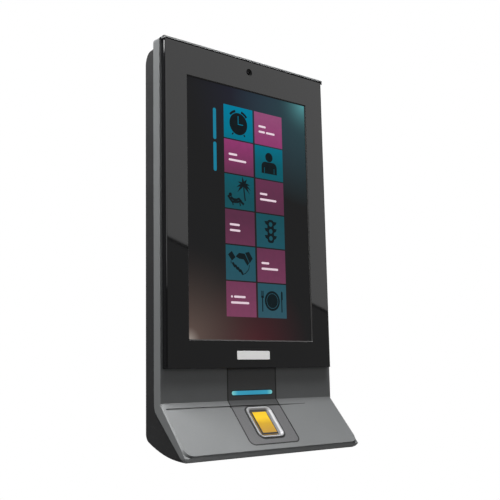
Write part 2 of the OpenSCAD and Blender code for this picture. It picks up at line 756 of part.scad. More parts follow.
module retaining_clip() color("gray") placed() difference() {
    rod_z(0, lock_d, [12.1, 12.9], 3.2);
    rod_z(0, lock_d, [12, 13], lock_r);
    block([-1, 1], [lock_d + 0.5, lock_d + 4], [12, 13]);
}

module clamp_nut() color("gainsboro") placed() difference() {
    block([-nut_half, nut_half], [lock_d - nut_half, lock_d + nut_half],
        [flange_h1 + 0.02, flange_h1 + 0.02 + nut_t]);
    rod_z(0, lock_d, [flange_h1 - cut, flange_h1 + nut_t + cut], lock_r + joint_gap);
}

// ---------- Tamper switch and reset button ----------

module tamper_plunger() color("ivory") placed() {
    rod_y(0, [0.2, 4.9], tamper_h, tamper_r);
    rod_y(0, [4.9, 5.9], tamper_h, 3.6);
    rod_y(0, [5.9, 7.9], tamper_h, 1.2);
}

// Compression spring swept as a helix between the plunger's collar and the switch
module tamper_spring() color("silver") placed() {
    wire_r = 0.2;
    coil_r = 2.2;
    turns = 4;
    steps_per_turn = 14;
    sides = 6;
    span = 4.1 - 2 * wire_r;
    count = turns * steps_per_turn;
    points = [for (i = [0:count], k = [0:sides - 1])
        let (a = 360 * i / steps_per_turn, b = 360 * k / sides, r = coil_r + wire_r * cos(b))
        [r * cos(a), -5.9 - wire_r - span * i / count + wire_r * sin(b), r * sin(a)]];
    walls = [for (i = [0:count - 1], k = [0:sides - 1])
        let (next = (k + 1) % sides)
        [i * sides + k, i * sides + next, (i + 1) * sides + next, (i + 1) * sides + k]];
    ends = [[for (k = [0:sides - 1]) sides - 1 - k], [for (k = [0:sides - 1]) count * sides + k]];
    translate([0, 0, tamper_h]) polyhedron(points, concat(walls, ends));
}

module tamper_switch() color("#181818") placed() {
    block([-3, 3], [10, 11.2], [tamper_h - 3, tamper_h + 3]);
    block([-7, 7], [11.2, lcd_plate_d0], [tamper_h - 6, tamper_h + 6]);
}

module reset_button() color("#c02020") placed() {
    rod_z(reset_x, reset_d, [42.6, 47.8], reset_r);
    rod_z(reset_x, reset_d, [bay_h[1] + bay_wall + 0.05, bay_h[1] + bay_wall + 0.85], 2.2);
}

module reset_switch() color("#303030") placed() block([-50, -44.8], [5.5, io_d0], [48.8, 52.3]);

wall_bracket();
clamp_fork();
hinge_pins();
rear_housing();
front_frame();
fascia();
nameplate();
touch_panel();
touch_gasket();
display_cell();
lcd_module();
lcd_bracket();
lcd_screws();
standoffs();
main_board();
board_screws();
board_components();
shield_can();
cell_holder();
backup_cell();
display_ribbon();
board_ribbon();
io_board();
io_screws();
network_jack();
usb_socket();
terminal_block();
terminal_screws();
reader_insert();
light_bar();
led_board();
status_leds();
sensor_bezel();
sensor_window();
sensor_module();
sensor_board();
sensor_screws();
sensor_ribbon();
camera_window();
camera_module();
camera_ribbon();
speaker();
threaded_inserts();
case_screws();
lock_screw();
retaining_clip();
clamp_nut();
tamper_plunger();
tamper_spring();
tamper_switch();
reset_button();
reset_switch();
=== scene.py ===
"""Looks of a wall-mounted fingerprint terminal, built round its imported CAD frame."""

import json
import math

import bmesh
import bpy
from mathutils import Matrix, Vector


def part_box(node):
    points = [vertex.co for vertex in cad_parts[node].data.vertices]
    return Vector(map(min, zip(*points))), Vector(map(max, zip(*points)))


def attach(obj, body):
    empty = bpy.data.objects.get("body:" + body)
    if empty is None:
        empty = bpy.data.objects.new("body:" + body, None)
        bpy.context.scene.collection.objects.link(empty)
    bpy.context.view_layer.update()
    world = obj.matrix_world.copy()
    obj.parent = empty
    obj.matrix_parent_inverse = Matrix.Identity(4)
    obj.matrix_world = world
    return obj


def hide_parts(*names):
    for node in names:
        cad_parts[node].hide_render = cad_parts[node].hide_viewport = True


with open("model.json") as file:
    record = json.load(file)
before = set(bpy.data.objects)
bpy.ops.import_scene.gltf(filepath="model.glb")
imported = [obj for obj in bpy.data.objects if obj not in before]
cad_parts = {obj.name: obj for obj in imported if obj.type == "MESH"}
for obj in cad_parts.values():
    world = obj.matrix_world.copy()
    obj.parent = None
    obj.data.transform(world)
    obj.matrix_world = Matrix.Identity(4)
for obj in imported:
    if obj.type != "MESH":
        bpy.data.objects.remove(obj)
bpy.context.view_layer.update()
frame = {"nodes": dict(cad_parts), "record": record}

# ---------------------------------------------------------------- sizes, in millimetres

MM = 0.001
LIP_Z = -125.0                      # height of the bottom lip in the frame
FRAME_LOW, FRAME_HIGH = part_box("front_frame")
BODY_W = round((FRAME_HIGH.x - FRAME_LOW.x) / MM, 2)
BODY_H = round(FRAME_HIGH.z / MM - LIP_Z, 2)
BAND_D = 17.1                       # depth of the front band in front of the wall
BEND_H = 30.5                       # height of the bend between the band and the reader slope
SLOPE_A = math.radians(48.8)        # angle of the slope below square to the wall
CREASE_S = 4.5                      # crease on the slope, down from the bend
FASCIA_D = round(-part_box("fascia")[0].y / MM, 2)
FASCIA_H0 = 49.2                    # where the insert goes under the fascia
WINDOW_W, WINDOW_LEN = 94.8, 155.0  # display window
WINDOW_H = 143.1                    # height of the window's centre
WINDOW_BEVEL = 0.6
SCREEN_D = 19.42                    # depth of the lit picture, bonded to the touch glass
CAMERA_H = 233.1                    # height of the camera hole


def at(x, d, h):
    """Point x to the right, d in front of the wall and h above the lip, in metres."""
    return Vector((x, -d, h + LIP_Z)) * MM


def on_slope(x, s, n):
    """Point on the reader slope: x across, s down from the bend, n outward, in metres."""
    return at(x, BAND_D + s * math.cos(SLOPE_A) + n * math.sin(SLOPE_A),
              BEND_H - s * math.sin(SLOPE_A) + n * math.cos(SLOPE_A))


# ---------------------------------------------------------------- node helpers

class Shader:
    """A material whose nodes are made and linked by short calls."""

    def __init__(self, name):
        self.mat = bpy.data.materials.new(name)
        self.mat.use_nodes = True
        self.tree = self.mat.node_tree
        self.tree.nodes.clear()
        self.out = self.tree.nodes.new("ShaderNodeOutputMaterial")
        self.coords = self.node("TexCoord").outputs["Object"]

    def node(self, kind, **props):
        n = self.tree.nodes.new("ShaderNode" + kind)
        for key, value in props.items():
            setattr(n, key, value)
        return n

    def link(self, a, b):
        self.tree.links.new(a, b)

    def put(self, socket, value):
        if isinstance(value, bpy.types.NodeSocket):
            self.link(value, socket)
        else:
            socket.default_value = value

    def put_color(self, socket, value):
        self.put(socket, value if isinstance(value, bpy.types.NodeSocket) else (*value, 1.0))

    def scaled(self, factors):
        m = self.node("Mapping")
        self.link(self.coords, m.inputs["Vector"])
        m.inputs["Scale"].default_value = factors
        return m.outputs["Vector"]

    def noise(self, scale, detail=3.0, vector=None):
        n = self.node("TexNoise")
        self.link(vector or self.coords, n.inputs["Vector"])
        n.inputs["Scale"].default_value = scale
        n.inputs["Detail"].default_value = detail
        return n.outputs["Fac"]

    def math(self, op, a, b=0.0):
        n = self.node("Math", operation=op)
        for socket, value in zip(n.inputs, (a, b)):
            self.put(socket, value)
        return n.outputs[0]

    def axis(self, which):
        n = self.node("SeparateXYZ")
        self.link(self.coords, n.inputs[0])
        return n.outputs[which]

    def ramp(self, fac, stops):
        n = self.node("ValToRGB")
        items = n.color_ramp.elements
        while len(items) < len(stops):
            items.new(0.5)
        for item, (place, color) in zip(items, stops):
            item.position = place
            item.color = (*color, 1.0)
        self.put(n.inputs["Fac"], fac)
        return n.outputs["Color"]

    def span(self, fac, low, high, out_low=0.0, out_high=1.0):
        n = self.node("MapRange")
        n.clamp = True
        for key, value in (("Value", fac), ("From Min", low), ("From Max", high),
                           ("To Min", out_low), ("To Max", out_high)):
            self.put(n.inputs[key], value)
        return n.outputs["Result"]

    def mix(self, fac, a, b, blend="MIX"):
        n = self.node("Mix", data_type="RGBA", blend_type=blend)
        self.put(n.inputs[0], fac)
        self.put_color(n.inputs[6], a)
        self.put_color(n.inputs[7], b)
        return n.outputs[2]

    def bump(self, height, distance, normal=None):
        n = self.node("Bump")
        n.inputs["Distance"].default_value = distance
        self.link(height, n.inputs["Height"])
        if normal:
            self.link(normal, n.inputs["Normal"])
        return n.outputs["Normal"]

    def surface(self, color, rough, normal=None, **sockets):
        n = self.node("BsdfPrincipled")
        self.put_color(n.inputs["Base Color"], color)
        self.put(n.inputs["Roughness"], rough)
        if normal:
            self.link(normal, n.inputs["Normal"])
        for key, value in sockets.items():
            self.put(n.inputs[key.replace("_", " ")], value)
        self.link(n.outputs[0], self.out.inputs["Surface"])
        return self.mat


def lerp(a, b, t):
    return tuple(x + (y - x) * t for x, y in zip(a, b))


# ---------------------------------------------------------------- materials

PATCH_SCALE, DUST_SCALE = 60.0, 900.0   # soft patches and specks, per metre
SPECK_GREY = (0.5, 0.5, 0.5)


def scaled_color(color, factor):
    return tuple(min(c * factor, 1.0) for c in color)


def grained(name, color, rough, grain_mm, depth_mm, metallic=0.0, vary=0.12, specks=0.10, **sockets):
    """Moulded, painted or cast surface: fine grain in bump, soft patches in colour and roughness."""
    s = Shader(name)
    grain = s.noise(1.0 / (grain_mm * MM), 2.0)
    patch = s.noise(PATCH_SCALE, 4.0)
    dust = s.noise(DUST_SCALE, 2.0)
    base = s.mix(patch, scaled_color(color, 1 - vary), scaled_color(color, 1 + vary))
    base = s.mix(s.span(dust, 0.58, 0.75, 0.0, specks), base, lerp(color, SPECK_GREY, 0.35))
    roughness = s.span(patch, 0.3, 0.7, rough * 0.92, min(rough * 1.1, 1.0))
    normal = s.bump(grain, depth_mm * MM)
    return s.surface(base, roughness, normal, Metallic=metallic, **sockets)


def brushed(name, color, rough, axis=0):
    """Bare metal with fine lines along one axis."""
    s = Shader(name)
    fine = 1.0 / (0.12 * MM)
    factors = [fine, fine, fine]
    factors[axis] = fine * 0.02
    lines = s.noise(1.0, 2.0, s.scaled(factors))
    patch = s.noise(90.0, 3.0)
    base = s.mix(lines, scaled_color(color, 0.86), scaled_color(color, 1.1))
    wear = s.math("ADD", lines, s.math("MULTIPLY", patch, 0.4))
    roughness = s.span(wear, 0.4, 1.0, rough * 0.75, rough * 1.3)
    return s.surface(base, roughness, s.bump(lines, 0.004 * MM), Metallic=1.0)


paint = grained("paint_grey", (0.205, 0.212, 0.215), 0.42, 0.35, 0.006, vary=0.03)
housing_plastic = grained("housing_plastic", (0.024, 0.024, 0.025), 0.6, 0.5, 0.02)
gloss_black = grained("gloss_black", (0.010, 0.010, 0.011), 0.03, 12.0, 0.0002,
                      vary=0.1, specks=0.008)
steel_coat = grained("bracket_zinc", (0.50, 0.52, 0.54), 0.42, 0.6, 0.01, metallic=0.6)
steel = brushed("bright_steel", (0.62, 0.62, 0.63), 0.3)
black_steel = grained("screw_black", (0.05, 0.05, 0.055), 0.35, 0.2, 0.004, metallic=0.7)
# painted glow: the label gives off white light of its own though it is no lamp
label = grained("label_white", (0.86, 0.86, 0.85), 0.35, 0.4, 0.004, vary=0.02,
                Emission_Color=(1.0, 1.0, 1.0, 1.0), Emission_Strength=0.35)
gasket = grained("gasket_black", (0.02, 0.02, 0.02), 0.8, 0.4, 0.02)
board = grained("board_green", (0.02, 0.13, 0.06), 0.35, 0.8, 0.01)
chip = grained("chip_black", (0.025, 0.025, 0.027), 0.5, 0.15, 0.006)
brass = brushed("brass", (0.70, 0.50, 0.20), 0.3, axis=1)
ribbon = grained("ribbon_amber", (0.50, 0.26, 0.07), 0.35, 1.0, 0.004)
plated = brushed("plated_metal", (0.68, 0.69, 0.70), 0.22, axis=2)
terminal_green = grained("terminal_green", (0.03, 0.24, 0.10), 0.5, 0.4, 0.02)
led_white = grained("led_white", (0.80, 0.78, 0.66), 0.3, 0.3, 0.002)
plunger_white = grained("plunger_white", (0.72, 0.70, 0.62), 0.45, 0.4, 0.006)
button_red = grained("button_red", (0.45, 0.02, 0.02), 0.4, 0.4, 0.006)
lens_black = grained("lens_black", (0.006, 0.006, 0.009), 0.12, 2.0, 0.0005,
                     specks=0.0, Specular_IOR_Level=0.12)
trim_black = grained("trim_black", (0.075, 0.073, 0.073), 0.35, 0.3, 0.002,
                     vary=0.05, specks=0.0)


def touch_glass_material():
    """Coated glass: clear with a weak gloss."""
    s = Shader("touch_glass")
    clear = s.node("BsdfTransparent")
    gloss = s.node("BsdfGlossy")
    gloss.inputs["Roughness"].default_value = 0.08
    edge = s.node("Fresnel")
    edge.inputs["IOR"].default_value = 1.35
    smear = s.span(s.noise(35.0, 4.0), 0.35, 0.75, 0.03, 0.06)
    mixer = s.node("MixShader")
    s.link(s.math("MULTIPLY", edge.outputs[0], smear), mixer.inputs[0])
    s.link(clear.outputs[0], mixer.inputs[1])
    s.link(gloss.outputs[0], mixer.inputs[2])
    s.link(mixer.outputs[0], s.out.inputs["Surface"])
    return s.mat


def glow_at(s, x, h, radius):
    """1 at a point of the picture, falling to 0 at the radius."""
    n = s.node("VectorMath", operation="DISTANCE")
    s.link(s.coords, n.inputs[0])
    n.inputs[1].default_value = at(x, SCREEN_D, h)
    return s.span(n.outputs["Value"], 0.0, radius * MM, 1.0, 0.0)


def emitter(s, color):
    """Near-black surface without gloss that gives off the colour."""
    return s.surface((0.004, 0.004, 0.004), 0.6, Emission_Color=color, Emission_Strength=1.0,
                     Specular_IOR_Level=0.0)


def picture_material():
    """Dark background with a teal glow above and warm glows below."""
    s = Shader("picture")
    teal = glow_at(s, 47, 222, 26)
    haze = glow_at(s, 48, 214, 62)
    warm = glow_at(s, -48, 64, 58)
    core = glow_at(s, -48, 64, 9)
    red = glow_at(s, 0, 62, 46)
    blue = glow_at(s, 20, 226, 74)
    color = s.mix(s.math("POWER", blue, 1.5), (0.0145, 0.0145, 0.0150), (0.020, 0.022, 0.046))
    color = s.mix(s.math("POWER", haze, 0.9), color, (0.026, 0.060, 0.070))
    color = s.mix(s.math("POWER", teal, 2.6), color, (0.10, 0.33, 0.35))
    color = s.mix(s.math("MULTIPLY", s.math("POWER", red, 1.3), 0.75), color, (0.080, 0.018, 0.024))
    color = s.mix(s.math("POWER", warm, 1.8), color, (0.120, 0.082, 0.070))
    color = s.mix(s.math("POWER", core, 1.3), color, (0.34, 0.30, 0.27))
    fine = s.span(s.noise(260.0, 3.0), 0.3, 0.7, 0.93, 1.07)
    grain = s.mix(fine, (0.9, 0.9, 0.9), (1.05, 1.05, 1.05))
    return emitter(s, s.mix(1.0, color, grain, "MULTIPLY"))


def light_bar_material():
    """Blue light, greener and paler towards both ends."""
    s = Shader("light_blue")
    half_length = 15.6 * MM
    across = s.math("ABSOLUTE", s.axis(0))
    color = s.ramp(s.span(across, 0.0, half_length), [
        (0.0, (0.040, 0.29, 0.44)), (0.72, (0.045, 0.32, 0.47)),
        (0.93, (0.16, 0.52, 0.55)), (1.0, (0.22, 0.55, 0.55))])
    return emitter(s, color)


def gold_material():
    """Prism of the sensor: yellow above, darker orange below, with a painted glow of its own colour."""
    s = Shader("sensor_gold")
    rise = s.span(s.axis(2), at(0, 0, 12).z, at(0, 0, 25).z)
    cloudy = s.math("ADD", rise, s.math("MULTIPLY", s.noise(180.0, 3.0), 0.12))
    color = s.ramp(cloudy, [(0.0, (0.42, 0.24, 0.055)), (0.45, (0.56, 0.33, 0.03)),
                            (0.72, (0.85, 0.55, 0.03)), (1.0, (0.80, 0.50, 0.03))])
    # painted glow: the prism gives off its own colour though it is no lamp
    return s.surface(color, 0.16, Emission_Color=color, Emission_Strength=0.35,
                     Coat_Weight=0.6, Coat_Roughness=0.05)


def bezel_material():
    """Satin metal: bright on the rim, with painted shade making it darker down the walls of the funnel,
    and fine lines across.
    """
    s = Shader("bezel_metal")
    outward = Vector((0.0, -math.sin(SLOPE_A), math.cos(SLOPE_A)))
    height = s.node("VectorMath", operation="DOT_PRODUCT")
    s.link(s.coords, height.inputs[0])
    height.inputs[1].default_value = outward
    level = on_slope(0, 0, 0).dot(outward)
    rim = s.span(height.outputs["Value"], level - 0.35 * MM, level + 0.02 * MM)
    lines = s.noise(1.0, 2.0, s.scaled((200.0, 9000.0, 9000.0)))
    # painted shade: the funnel walls below the rim get a darker colour than the rim itself
    base = s.mix(rim, (0.15, 0.15, 0.155), (0.50, 0.50, 0.51))
    base = s.mix(s.span(lines, 0.3, 0.7, 0.0, 0.25), base, (0.30, 0.30, 0.31))
    rough = s.span(lines, 0.3, 0.7, 0.40, 0.52)
    return s.surface(base, rough, s.bump(lines, 0.003 * MM), Metallic=0.55)


def insert_material():
    """Moulded insert: plain above the crease, with painted shade making it darker there, and fine
    crossed lines on the slope below it.
    """
    s = Shader("insert_grey")
    height = s.axis(2)
    below = s.span(height, on_slope(0, CREASE_S + 1.2, 0).z, on_slope(0, CREASE_S, 0).z, 1.0, 0.0)
    slant = s.math("MULTIPLY", height, 1.33)
    turns = 2 * math.pi / (1.1 * MM)
    waves = [s.math("SINE", s.math("MULTIPLY", s.math(op, s.axis(0), slant), turns))
             for op in ("ADD", "SUBTRACT")]
    relief = s.math("MULTIPLY", s.math("MAXIMUM", s.math("ADD", *waves), -0.6), below)
    grain = s.noise(1.0 / (0.25 * MM), 2.0)
    # painted shade: the insert above the crease, where it turns upright, is coloured darker than on the
    # slope
    base = s.mix(below, (0.060, 0.062, 0.063), (0.130, 0.130, 0.135))
    base = s.mix(s.span(relief, -0.6, 1.6, 0.0, 0.22), base, (0.19, 0.19, 0.195))
    normal = s.bump(grain, 0.01 * MM, normal=s.bump(relief, 0.03 * MM))
    rough = s.span(s.noise(70.0, 3.0), 0.3, 0.7, 0.42, 0.5)
    return s.surface(base, rough, normal)


SLOT_LOOKS = {
    "bracket_steel": steel_coat, "bright_steel": steel, "plated_metal": plated,
    "screw_black": black_steel, "brass": brass, "bezel_metal": bezel_material(),
    "frame_grey": paint, "housing_black": housing_plastic, "fascia_black": gloss_black,
    "insert_grey": insert_material(), "label_white": label, "gasket_black": gasket,
    "touch_glass": touch_glass_material(), "screen": picture_material(), "lens_black": lens_black,
    "light_blue": light_bar_material(), "led_white": led_white, "sensor_gold": gold_material(),
    "board_green": board, "chip_black": chip, "ribbon_amber": ribbon,
    "terminal_green": terminal_green, "plunger_white": plunger_white, "button_red": button_red,
}

# ---------------------------------------------------------------- mesh helpers


SMOOTH_ANGLE = math.radians(35.0)   # sharper edges than this are shaded hard
BEVEL_ANGLE = math.radians(40.0)    # sharper edges than this are softened


def mesh_object(name, bm, material):
    """An object in the scene made from a bmesh, which is used up."""
    mesh = bpy.data.meshes.new(name)
    bm.to_mesh(mesh)
    bm.free()
    mesh.materials.append(material)
    obj = bpy.data.objects.new(name, mesh)
    bpy.context.scene.collection.objects.link(obj)
    return obj


def add_object(name, bm, material, body="terminal"):
    """A piece from a bmesh: shaded smooth except at sharp edges, riding on a body."""
    bmesh.ops.recalc_face_normals(bm, faces=bm.faces)
    for f in bm.faces:
        f.smooth = True
    for e in bm.edges:
        e.smooth = len(e.link_faces) == 2 and e.calc_face_angle(0.0) < SMOOTH_ANGLE
    obj = mesh_object(name, bm, material)
    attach(obj, body)
    return obj


def bevelled(obj, width_mm):
    """Softens the edges, and keeps the shading of the flat faces flat."""
    bevel = obj.modifiers.new("soft_edges", "BEVEL")
    bevel.width = width_mm * MM
    bevel.segments = 2
    bevel.limit_method = "ANGLE"
    bevel.angle_limit = BEVEL_ANGLE
    bevel.miter_outer = "MITER_ARC"
    bevel.harden_normals = False
    normals = obj.modifiers.new("weighted_normals", "WEIGHTED_NORMAL")
    normals.keep_sharp = True
    normals.weight = 80


def softened_copy(node, width_mm):
    """A refined copy of a CAD node: welded, with flat faces whole and its edges softened."""
    bm = bmesh.new()
    bm.from_mesh(frame["nodes"][node].data)
    bmesh.ops.remove_doubles(bm, verts=bm.verts, dist=1e-7)
    bmesh.ops.dissolve_limit(bm, angle_limit=math.radians(0.4), verts=bm.verts, edges=bm.edges)
    obj = add_object(node + "_skin", bm, SLOT_LOOKS[slot_of[node]], body_of[node])
    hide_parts(node)
    bevelled(obj, width_mm)


record = frame["record"]
body_of = {n: b for b, nodes in record["behaviour"]["bodies"].items() for n in nodes}
slot_of = {s["node"]: s["material_slot"] for s in record["subparts"]}

for node, obj in frame["nodes"].items():
    obj.data.materials.clear()
    obj.data.materials.append(SLOT_LOOKS[slot_of[node]])

SOFT_COPIES = {                     # node: width of its softened edges
    "wall_bracket": 0.2, "clamp_fork": 0.2, "rear_housing": 0.25, "front_frame": 0.4,
    "fascia": 0.25, "reader_insert": 0.3, "sensor_bezel": 0.15, "sensor_window": 0.1,
    "light_bar": 0.1, "nameplate": 0.08,
}
for node, width in SOFT_COPIES.items():
    softened_copy(node, width)

# ---------------------------------------------------------------- seals round the insert and the sensor

INSERT_W, INSERT_LEN = 36.2, 31.6   # across, and down the slope from the bend
INSERT_CORNER_R = 3.2
BEZEL_W, BEZEL_LEN = 18.8, 21.9
BEZEL_S = (5.65, 27.55)             # its top and bottom, down the slope
PLATEN_W = 12.2                     # gold window
PLATEN_S = (8.3, 24.9)


def arc(x, z, r, start, end, steps=24):
    """Points along an arc, with angles in degrees."""
    angles = [math.radians(start + (end - start) * i / steps) for i in range(steps + 1)]
    return [(x + r * math.cos(a), z + r * math.sin(a)) for a in angles]


def round_rect(w, h, r, steps=5):
    """Outline of a rectangle with rounded corners, centred on 0, 0."""
    x, z = w / 2 - r, h / 2 - r
    points = []
    for cx, cz, start in ((x, z, 0), (-x, z, 90), (-x, -z, 180), (x, -z, 270)):
        points += arc(cx, cz, r, start, start + 90, steps)
    return points


def seal(name, outer, inner, closed=True, slot="gasket_black", material=None):
    """Band between two lists of (top, bottom) point pairs of equal length."""
    bm = bmesh.new()
    rings = [[bm.verts.new(pair[side]) for pair in row]
             for row, side in ((outer, 0), (inner, 0), (inner, 1), (outer, 1))]
    count = len(outer)
    for k in range(count if closed else count - 1):
        j = (k + 1) % count
        for a, b in zip(rings, rings[1:] + rings[:1]):
            bm.faces.new((a[k], a[j], b[j], b[k]))
    if not closed:
        bm.faces.new([r[0] for r in rings])
        bm.faces.new([r[-1] for r in reversed(rings)])
    add_object(name, bm, material or SLOT_LOOKS[slot])


def slope_ring(width, length, s_mid, r, n_top, n_bottom):
    """Rounded rectangle on the slope as pairs of points at two heights."""
    return [(on_slope(x, s_mid + z, n_top), on_slope(x, s_mid + z, n_bottom))
            for x, z in round_rect(width, length, r, 8)]


def sensor_seal():
    """Dark joint between the bezel and the insert."""
    outer, inner = (slope_ring(BEZEL_W + grow, BEZEL_LEN + grow, sum(BEZEL_S) / 2, r, 0.06, -0.8)
                    for grow, r in ((2.3, 4.6), (0.04, 3.42)))
    seal("sensor_seal", outer, inner)


def sensor_shadow_sheet():
    """Dark sheet over the gold window as painted shadow, wide at the left and at the bottom."""
    half, (s0, s1) = PLATEN_W / 2, PLATEN_S
    edges = ((-half, half, s0, s1), (-half + 1.25, half - 0.35, s0 + 0.1, s1 - 1.25))
    # painted shadow: a thin dark sheet laid on the gold where the bezel's walls shade it
    outer, inner = ([(on_slope(x, s, -0.74), on_slope(x, s, -0.79))
                     for x, s in ((left, top), (right, top), (right, bottom), (left, bottom))]
                    for left, right, top, bottom in edges)
    seal("sensor_shadow_sheet", outer, inner)


def insert_outline(grow):
    """Point pairs down the left of the insert, round its lower end and up the right."""
    top, bottom = 0.04, -0.6
    half, end, r = INSERT_W / 2 + grow, INSERT_LEN + grow, INSERT_CORNER_R + grow
    left = [(at(-half, BAND_D + top, h), at(-half, BAND_D + bottom, h))
            for h in (FASCIA_H0, BEND_H + 0.02)]
    for i in range(9):
        a = math.pi / 2 * i / 8
        x, s = r - half - r * math.cos(a), end - r + r * math.sin(a)
        left.append((on_slope(x, s, top), on_slope(x, s, bottom)))
    right = [tuple(Vector((-p.x, p.y, p.z)) for p in pair) for pair in reversed(left)]
    return left + right


def light_ring(grow):
    """Point pairs round the light bar, this much outside it."""
    low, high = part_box("light_bar")
    x0, z0 = (low.x + high.x) / 2, (low.z + high.z) / 2
    w, h = (high.x - low.x) / MM, (high.z - low.z) / MM
    return [[Vector((x0 + x * MM, -d * MM, z0 + z * MM)) for d in (BAND_D + 0.05, BAND_D - 0.5)]
            for x, z in round_rect(w + 2 * grow, h + 2 * grow, h / 2 + grow - 0.01, 8)]


def window_ring(grow, front, back):
    """Point pairs round the display window, this much outside it."""
    points = round_rect(WINDOW_W + 2 * grow, WINDOW_LEN + 2 * grow, 0.3 + max(grow, 0.0), 4)
    return [(at(x, front, WINDOW_H + z), at(x, back, WINDOW_H + z)) for x, z in points]


def window_trim():
    """Satin edge with a 45 degree face round the display window."""
    floor = FASCIA_D - 0.7
    seal("window_trim", window_ring(WINDOW_BEVEL, FASCIA_D + 0.02, floor),
         window_ring(-0.05, FASCIA_D - 0.58, floor), slot="fascia_black", material=trim_black)


def top_trim():
    """Painted lip along the top edge, chamfered towards the fascia and wrapped round both corners."""
    r, margin, back = 2.45, 0.05, FASCIA_D - 1.4
    half, top = BODY_W / 2 - margin, BODY_H - margin
    loops = []
    for inset, front in ((0.0, FASCIA_D - 0.9), (1.3, FASCIA_D + 0.03)):
        path = arc(r - half, top - r, r - inset, 180, 90, 8)
        path += arc(half - r, top - r, r - inset, 90, 0, 8)
        loops.append([(at(x, front, h), at(x, back, h)) for x, h in path])
    seal("top_trim", loops[0], loops[1], closed=False, slot="frame_grey")


def revolved(profile, sides, place):
    """Surface turned from (radius, level) points; place turns u, v and the level into a point."""
    bm = bmesh.new()
    rings = []
    for r, level in profile:
        turns = [2 * math.pi * k / sides for k in range(sides if r else 1)]
        rings.append([bm.verts.new(place(r * math.cos(t), r * math.sin(t), level)) for t in turns])
    for a, b in zip(rings, rings[1:]):
        for k in range(sides):
            corners = [a[k % len(a)], a[(k + 1) % len(a)], b[(k + 1) % len(b)], b[k % len(b)]]
            bm.faces.new(list(dict.fromkeys(corners)))
    return bm


def camera_turned(name, profile, slot):
    """Piece turned round the camera's axis, from (radius, depth) points."""
    bm = revolved(profile, 40, lambda u, v, d: at(u, d, CAMERA_H + v))
    add_object(name, bm, SLOT_LOOKS[slot])


def camera_pieces():
    """Stepped ring and domed lens behind the camera hole."""
    hole, floor = 2.25, FASCIA_D - 0.98
    ring = ((hole, 0.0), (hole, 0.35), (1.5, 0.2), (1.4, 0.05), (1.4, 0.0))
    dome = ((0.0, 0.42), (0.5, 0.38), (0.9, 0.28), (1.2, 0.14), (1.35, 0.0), (0.0, 0.0))
    camera_turned("camera_ring", [(r, floor + rise) for r, rise in ring], "gasket_black")
    camera_turned("camera_lens", [(r, floor + rise) for r, rise in dome], "lens_black")


sensor_seal()
sensor_shadow_sheet()
seal("insert_seal", insert_outline(0.85), insert_outline(0.06), closed=False)
seal("light_seal", light_ring(0.55), light_ring(0.02))
window_trim()
top_trim()
camera_pieces()

# ---------------------------------------------------------------- picture on the display

ROWS = 6
TILE_X = ((-20.2, 2.6), (4.0, 27.0))    # left and right edge of the two columns
TILE_TOP, TILE_PITCH, TILE_GAP = 208.9, 21.73, 0.8
WORD_H, WORD_GAP, LINE_PITCH = 1.3, 0.9, 3.5
TITLE_AT = (-27.2, 165.8)           # lower end of the upright title bars
TITLE_W, TITLE_GAP = 2.3, 1.6
FILM_T = 0.03                       # thickness of one layer of the picture


def tinted_light(name, stops):
    """Lit layer whose colour changes with height on the screen, as listed in millimetres."""
    s = Shader(name)
    low, high = TILE_TOP - ROWS * TILE_PITCH, TILE_TOP
    height = s.span(s.axis(2), at(0, 0, low).z, at(0, 0, high).z)
    color = s.ramp(height, [((h - low) / (high - low), c) for h, c in stops])
    fine = s.noise(300.0, 2.0)
    return emitter(s, s.mix(s.span(fine, 0.3, 0.7, 0.0, 0.10), color, (0.02, 0.03, 0.04)))


teal_light = tinted_light("teal_light", [
    (79, (0.030, 0.090, 0.120)), (120, (0.016, 0.085, 0.115)), (150, (0.009, 0.078, 0.098)),
    (176, (0.004, 0.110, 0.150)), (190, (0.001, 0.165, 0.250)), (209, (0.0, 0.200, 0.330))])
magenta_light = tinted_light("magenta_light", [
    (79, (0.200, 0.052, 0.110)), (105, (0.160, 0.040, 0.090)), (140, (0.100, 0.028, 0.060)),
    (165, (0.130, 0.032, 0.075)), (186, (0.270, 0.040, 0.150)), (209, (0.290, 0.075, 0.180))])
word_light = tinted_light("word_light", [(79, (0.78, 0.62, 0.70)), (209, (0.86, 0.70, 0.78))])
title_light = tinted_light("title_light", [(79, (0.01, 0.18, 0.28)), (209, (0.012, 0.22, 0.34))])
icon_light = tinted_light("icon_light", [(79, (0.006, 0.012, 0.014)), (209, (0.006, 0.010, 0.012))])


class Picture:
    """Flat layers of one colour, drawn in millimetres round a centre on the screen."""

    def __init__(self, layer):
        self.bm = bmesh.new()
        self.layer = layer
        self.centre = (0.0, 0.0)

    def shape(self, points):
        """A thin solid plate with this outline."""
        front = SCREEN_D + self.layer * FILM_T
        x0, z0 = self.centre
        near, far = ([self.bm.verts.new(at(x0 + x, depth, z0 + z)) for x, z in points]
                     for depth in (front, front - FILM_T * 0.8))
        self.bm.faces.new(near)
        self.bm.faces.new(reversed(far))
        for a, b, c, d in zip(near, near[1:] + near[:1], far[1:] + far[:1], far):
            self.bm.faces.new((a, d, c, b))

    def disc(self, x, z, r, sides=40):
        self.shape(arc(x, z, r, 0, 360, sides)[:-1])

    def bar(self, x, z, w, h, turn=0.0, r=0.3):
        """Rounded bar centred on a point and turned by an angle in degrees."""
        c, s = math.cos(math.radians(turn)), math.sin(math.radians(turn))
        outline = round_rect(w, h, min(r, w / 2.01, h / 2.01))
        self.shape([(x + c * u - s * v, z + s * u + c * v) for u, v in outline])

    def stroke(self, points, width):
        """Band of a given width along an open path."""
        left, right = [], []
        for i, (x, z) in enumerate(points):
            ax, az = points[max(i - 1, 0)]
            bx, bz = points[min(i + 1, len(points) - 1)]
            length = math.hypot(bx - ax, bz - az)
            nx, nz = -(bz - az) / length * width / 2, (bx - ax) / length * width / 2
            left.append((x + nx, z + nz))
            right.append((x - nx, z - nz))
        self.shape(left + right[::-1])

    def done(self, name, material):
        add_object(name, self.bm, material)


# Each icon is drawn on a dark layer, with its marks on a light layer in front.


